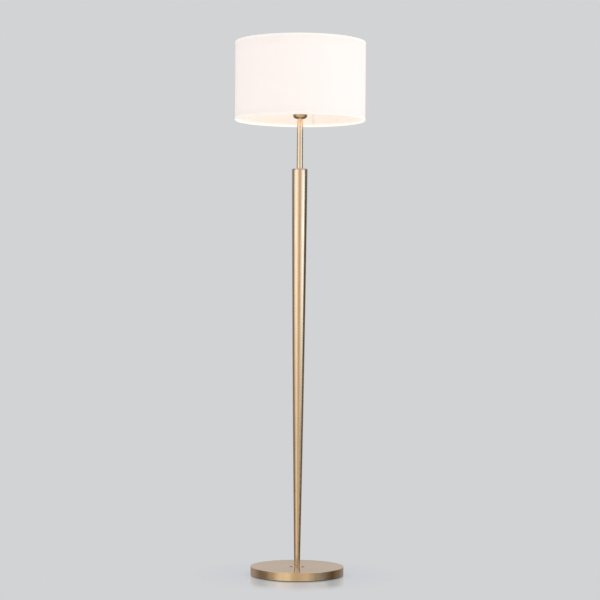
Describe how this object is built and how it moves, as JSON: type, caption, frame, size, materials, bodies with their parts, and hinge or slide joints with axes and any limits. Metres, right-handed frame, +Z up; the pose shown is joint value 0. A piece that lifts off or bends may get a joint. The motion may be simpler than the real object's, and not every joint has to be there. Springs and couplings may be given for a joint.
{
  "type": "floor lamp",
  "caption": "Straight floor lamp: round weighted base, slim tapered column wide at the top, thin upper tube and a drum shade of pale fabric round a screw-in bulb.",
  "frame": {"origin": "centre of the face the lamp stands on, on the column's axis", "axes": "+Z up along the column; +Y towards the back, where the cable inlet is; -Y towards the viewer"},
  "size_m": [0.3799, 0.38, 1.5483],
  "materials": {
    "satin_brass": "satin",
    "zinc_steel": "satin",
    "cast_iron": "matte",
    "pad_rubber": "matte",
    "black_rubber": "matte",
    "holder_black": "satin",
    "insert_ceramic": "matte",
    "contact_brass": "gloss",
    "cap_nickel": "satin",
    "insulator_black": "gloss",
    "bulb_white": "satin",
    "circuit_board": "satin",
    "led_aluminium": "satin",
    "led_yellow": "satin",
    "bulb_opal": "satin",
    "shade_cloth": "matte",
    "shade_film": "satin",
    "hem_tape": "matte",
    "white_wire": "satin"
  },
  "bodies": {
    "stand": {"base_pad": "pad_rubber", "base_cover": "satin_brass", "base_weight": "cast_iron", "cable_grommet": "black_rubber", "base_washer": "zinc_steel", "base_nut": "zinc_steel", "foot_flange": "satin_brass", "column_tube": "satin_brass", "column_foot_insert": "zinc_steel", "column_top_cap": "satin_brass", "tie_tube": "zinc_steel", "upper_tube": "satin_brass", "upper_tube_foot_insert": "zinc_steel", "upper_tube_head_insert": "zinc_steel", "socket_cup": "satin_brass", "cup_nut": "zinc_steel", "head_nipple": "zinc_steel", "holder_cap": "holder_black", "holder_lock_screw": "zinc_steel", "holder_insert": "insert_ceramic", "holder_centre_contact": "contact_brass", "terminal_screws": "zinc_steel", "holder_screw_shell": "contact_brass", "holder_skirt": "holder_black"},
    "shade": {"shade_fabric": "shade_cloth", "shade_liner": "shade_film", "shade_bottom_hem": "hem_tape", "shade_top_hem": "hem_tape", "shade_bottom_ring": "white_wire", "shade_top_ring": "white_wire", "shade_seam": "shade_cloth", "shade_fitter_ring": "white_wire", "shade_arm_1": "white_wire", "shade_arm_2": "white_wire", "shade_arm_3": "white_wire"},
    "clamp_ring": {"shade_clamp_ring": "holder_black"},
    "bulb": {"bulb_contact": "cap_nickel", "bulb_insulator": "insulator_black", "bulb_screw_cap": "cap_nickel", "bulb_housing": "bulb_white", "bulb_driver_board": "circuit_board", "bulb_led_plate": "led_aluminium", "bulb_leds": "led_yellow", "bulb_globe": "bulb_opal"}
  },
  "joints": [
    {"name": "shade_turn", "type": "hinge", "parent": "stand", "child": "shade", "pos_m": [0, 0, 1.3753], "axis": [0, 0, 1], "continuous": true},
    {"name": "clamp_ring_turn", "type": "hinge", "parent": "stand", "child": "clamp_ring", "pos_m": [0, 0, 1.3771], "axis": [0, 0, 1], "range_deg": [0, 1800]},
    {"name": "bulb_turn", "type": "hinge", "parent": "stand", "child": "bulb", "pos_m": [0, 0, 1.3555], "axis": [0, 0, 1], "range_deg": [0, 1440]}
  ]
}
